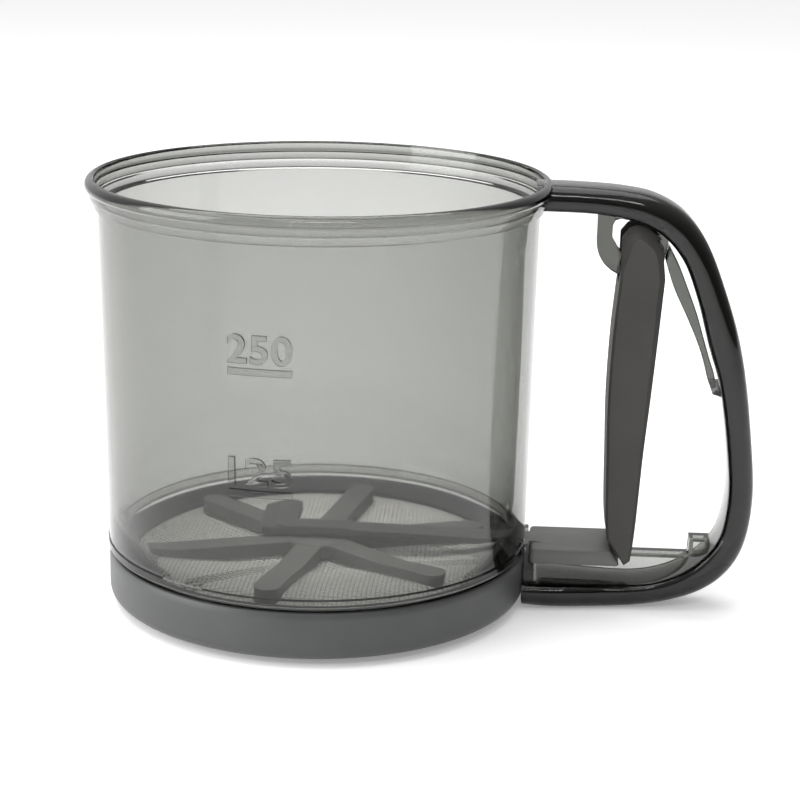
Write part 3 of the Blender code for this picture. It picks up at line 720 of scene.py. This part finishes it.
def stage():
    mesh = bpy.data.meshes.new("floor")
    mesh.from_pydata([(-6, -6, 0), (6, -6, 0), (6, 6, 0), (-6, 6, 0)], [], [(0, 1, 2, 3)])
    floor = bpy.data.objects.new("floor", mesh)
    bpy.context.scene.collection.objects.link(floor)
    floor.location.z = -0.0002
    made, _, shader = material("floor")
    shader.inputs["Base Color"].default_value = (0.93, 0.93, 0.93, 1.0)
    shader.inputs["Roughness"].default_value = 0.9
    shader.inputs["Specular IOR Level"].default_value = 0.0
    shader.inputs["Emission Color"].default_value = (1.0, 1.0, 1.0, 1.0)
    shader.inputs["Emission Strength"].default_value = 0.24
    mesh.materials.append(made)


def softbox(name, place, target, size, power):
    data = bpy.data.lights.new(name, 'AREA')
    data.shape = 'RECTANGLE'
    data.size, data.size_y = size
    data.energy = power
    lamp = bpy.data.objects.new(name, data)
    lamp.location = place
    lamp.rotation_euler = (Vector(target) - Vector(place)).to_track_quat('-Z', 'Y').to_euler()
    bpy.context.scene.collection.objects.link(lamp)


def light():
    """A room that is brightest above, behind and to the left, with three softboxes."""
    world = bpy.data.worlds.new("studio")
    bpy.context.scene.world = world
    world.use_nodes = True
    tree = world.node_tree
    room = tree.nodes["Background"]
    room.inputs["Color"].default_value = (1.0, 1.0, 1.0, 1.0)
    coords = tree.nodes.new("ShaderNodeTexCoord")
    along = tree.nodes.new("ShaderNodeVectorMath")
    along.operation = 'DOT_PRODUCT'
    along.inputs[1].default_value = Vector((-0.55, 0.45, 0.7)).normalized()
    tree.links.new(coords.outputs["Generated"], along.inputs[0])
    level = tree.nodes.new("ShaderNodeMapRange")
    level.inputs["From Min"].default_value = -0.6
    level.inputs["From Max"].default_value = 1.0
    level.inputs["To Min"].default_value = 0.10
    level.inputs["To Max"].default_value = 0.95
    tree.links.new(along.outputs["Value"], level.inputs["Value"])
    tree.links.new(level.outputs["Result"], room.inputs["Strength"])
    seen = tree.nodes.new("ShaderNodeBackground")
    seen.inputs["Color"].default_value = (1.0, 1.0, 1.0, 1.0)
    path = tree.nodes.new("ShaderNodeLightPath")
    mix = tree.nodes.new("ShaderNodeMixShader")
    tree.links.new(path.outputs["Is Camera Ray"], mix.inputs["Fac"])
    tree.links.new(room.outputs["Background"], mix.inputs[1])
    tree.links.new(seen.outputs["Background"], mix.inputs[2])
    tree.links.new(mix.outputs["Shader"], tree.nodes["World Output"].inputs["Surface"])
    softbox("top_softbox", (-0.12, 0.1, 0.9), (0, 0, 0.05), (1.1, 0.9), 6.5)
    softbox("front_softbox", (0.1, -1.0, 0.9), (0, 0, 0.05), (0.6, 0.12), 2.6)
    softbox("left_softbox", (-0.95, -0.4, 0.35), (0, 0, 0.03), (0.8, 0.8), 9.0)
    bpy.context.scene.view_settings.view_transform = 'Standard'


def camera():
    data = bpy.data.cameras.new("camera")
    data.lens = 92.5
    data.sensor_width = 36.0
    data.clip_start = 0.01
    cam = bpy.data.objects.new("camera", data)
    bpy.context.scene.collection.objects.link(cam)
    yaw, pitch, roll = -0.055, 0.273, 0.017
    forward = Vector((math.sin(yaw) * math.cos(pitch), math.cos(yaw) * math.cos(pitch), -math.sin(pitch)))
    right = Vector((math.cos(yaw), -math.sin(yaw), 0.0))
    up = right.cross(forward)
    r = right * math.cos(roll) + up * math.sin(roll)
    u = -right * math.sin(roll) + up * math.cos(roll)
    turn = Matrix((r, u, -forward)).transposed().to_4x4()
    place = Vector((45.16, -469.03, 178.34)) * MM + SHIFT
    cam.matrix_world = Matrix.Translation(place) @ turn
    bpy.context.scene.camera = cam


stage()
light()
camera()
bpy.data.collections.remove(WORK)
